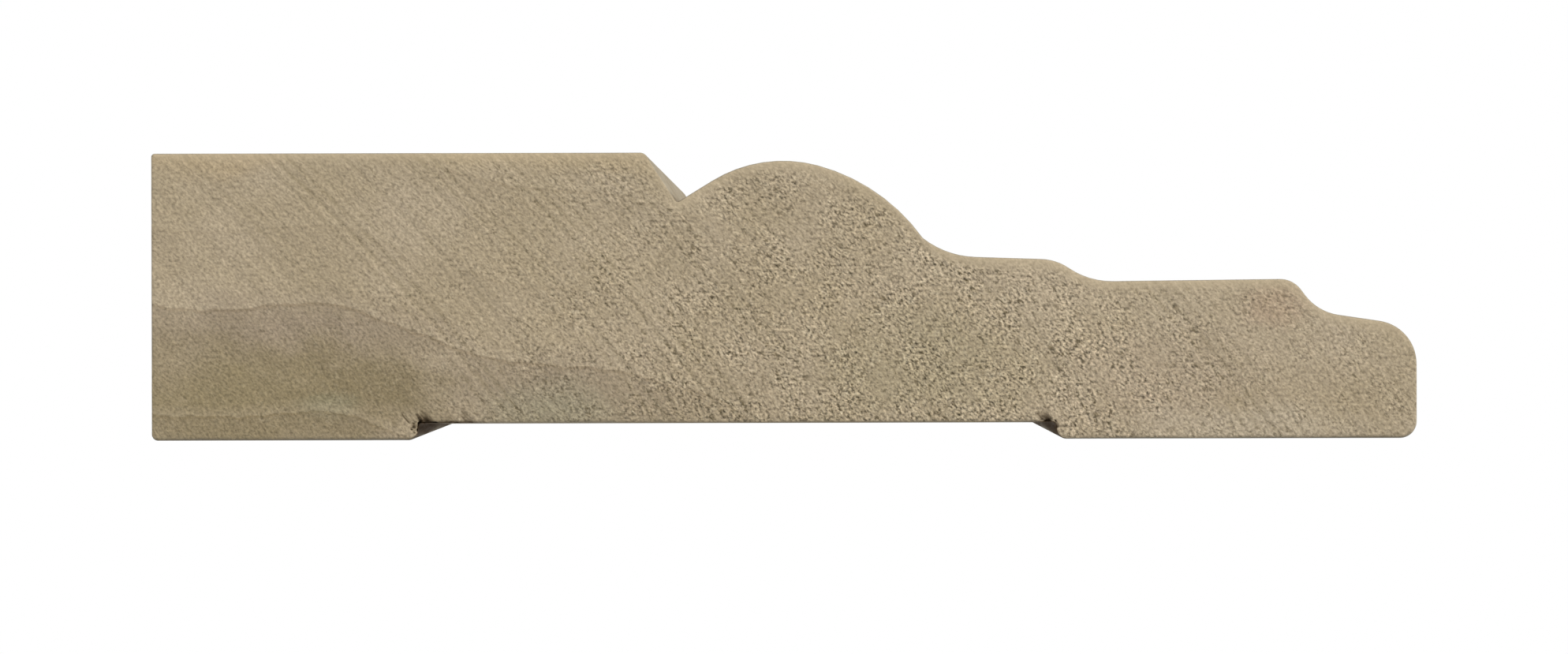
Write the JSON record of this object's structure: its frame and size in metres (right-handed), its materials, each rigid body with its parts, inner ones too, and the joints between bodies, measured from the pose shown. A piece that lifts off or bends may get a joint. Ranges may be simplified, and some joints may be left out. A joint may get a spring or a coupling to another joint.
{
  "type": "skirting board",
  "caption": "Timber skirting board with a plain face, a quirk, a torus and stepped fillets, and a shallow hollow along its back; one metre cut square.",
  "frame": {"origin": "centre of the bounding box, on the plane that the feet of the back lie on", "axes": "+X across the board from the thick bottom edge to the thin top edge, +Y along the length, +Z out of the wall, from the back to the moulded face"},
  "size_m": [0.108, 1, 0.0245],
  "materials": {
    "timber": "bare, planed on the long faces and sawn across the ends"
  },
  "bodies": {
    "root": {"skirting_board": "timber"}
  },
  "joints": []
}
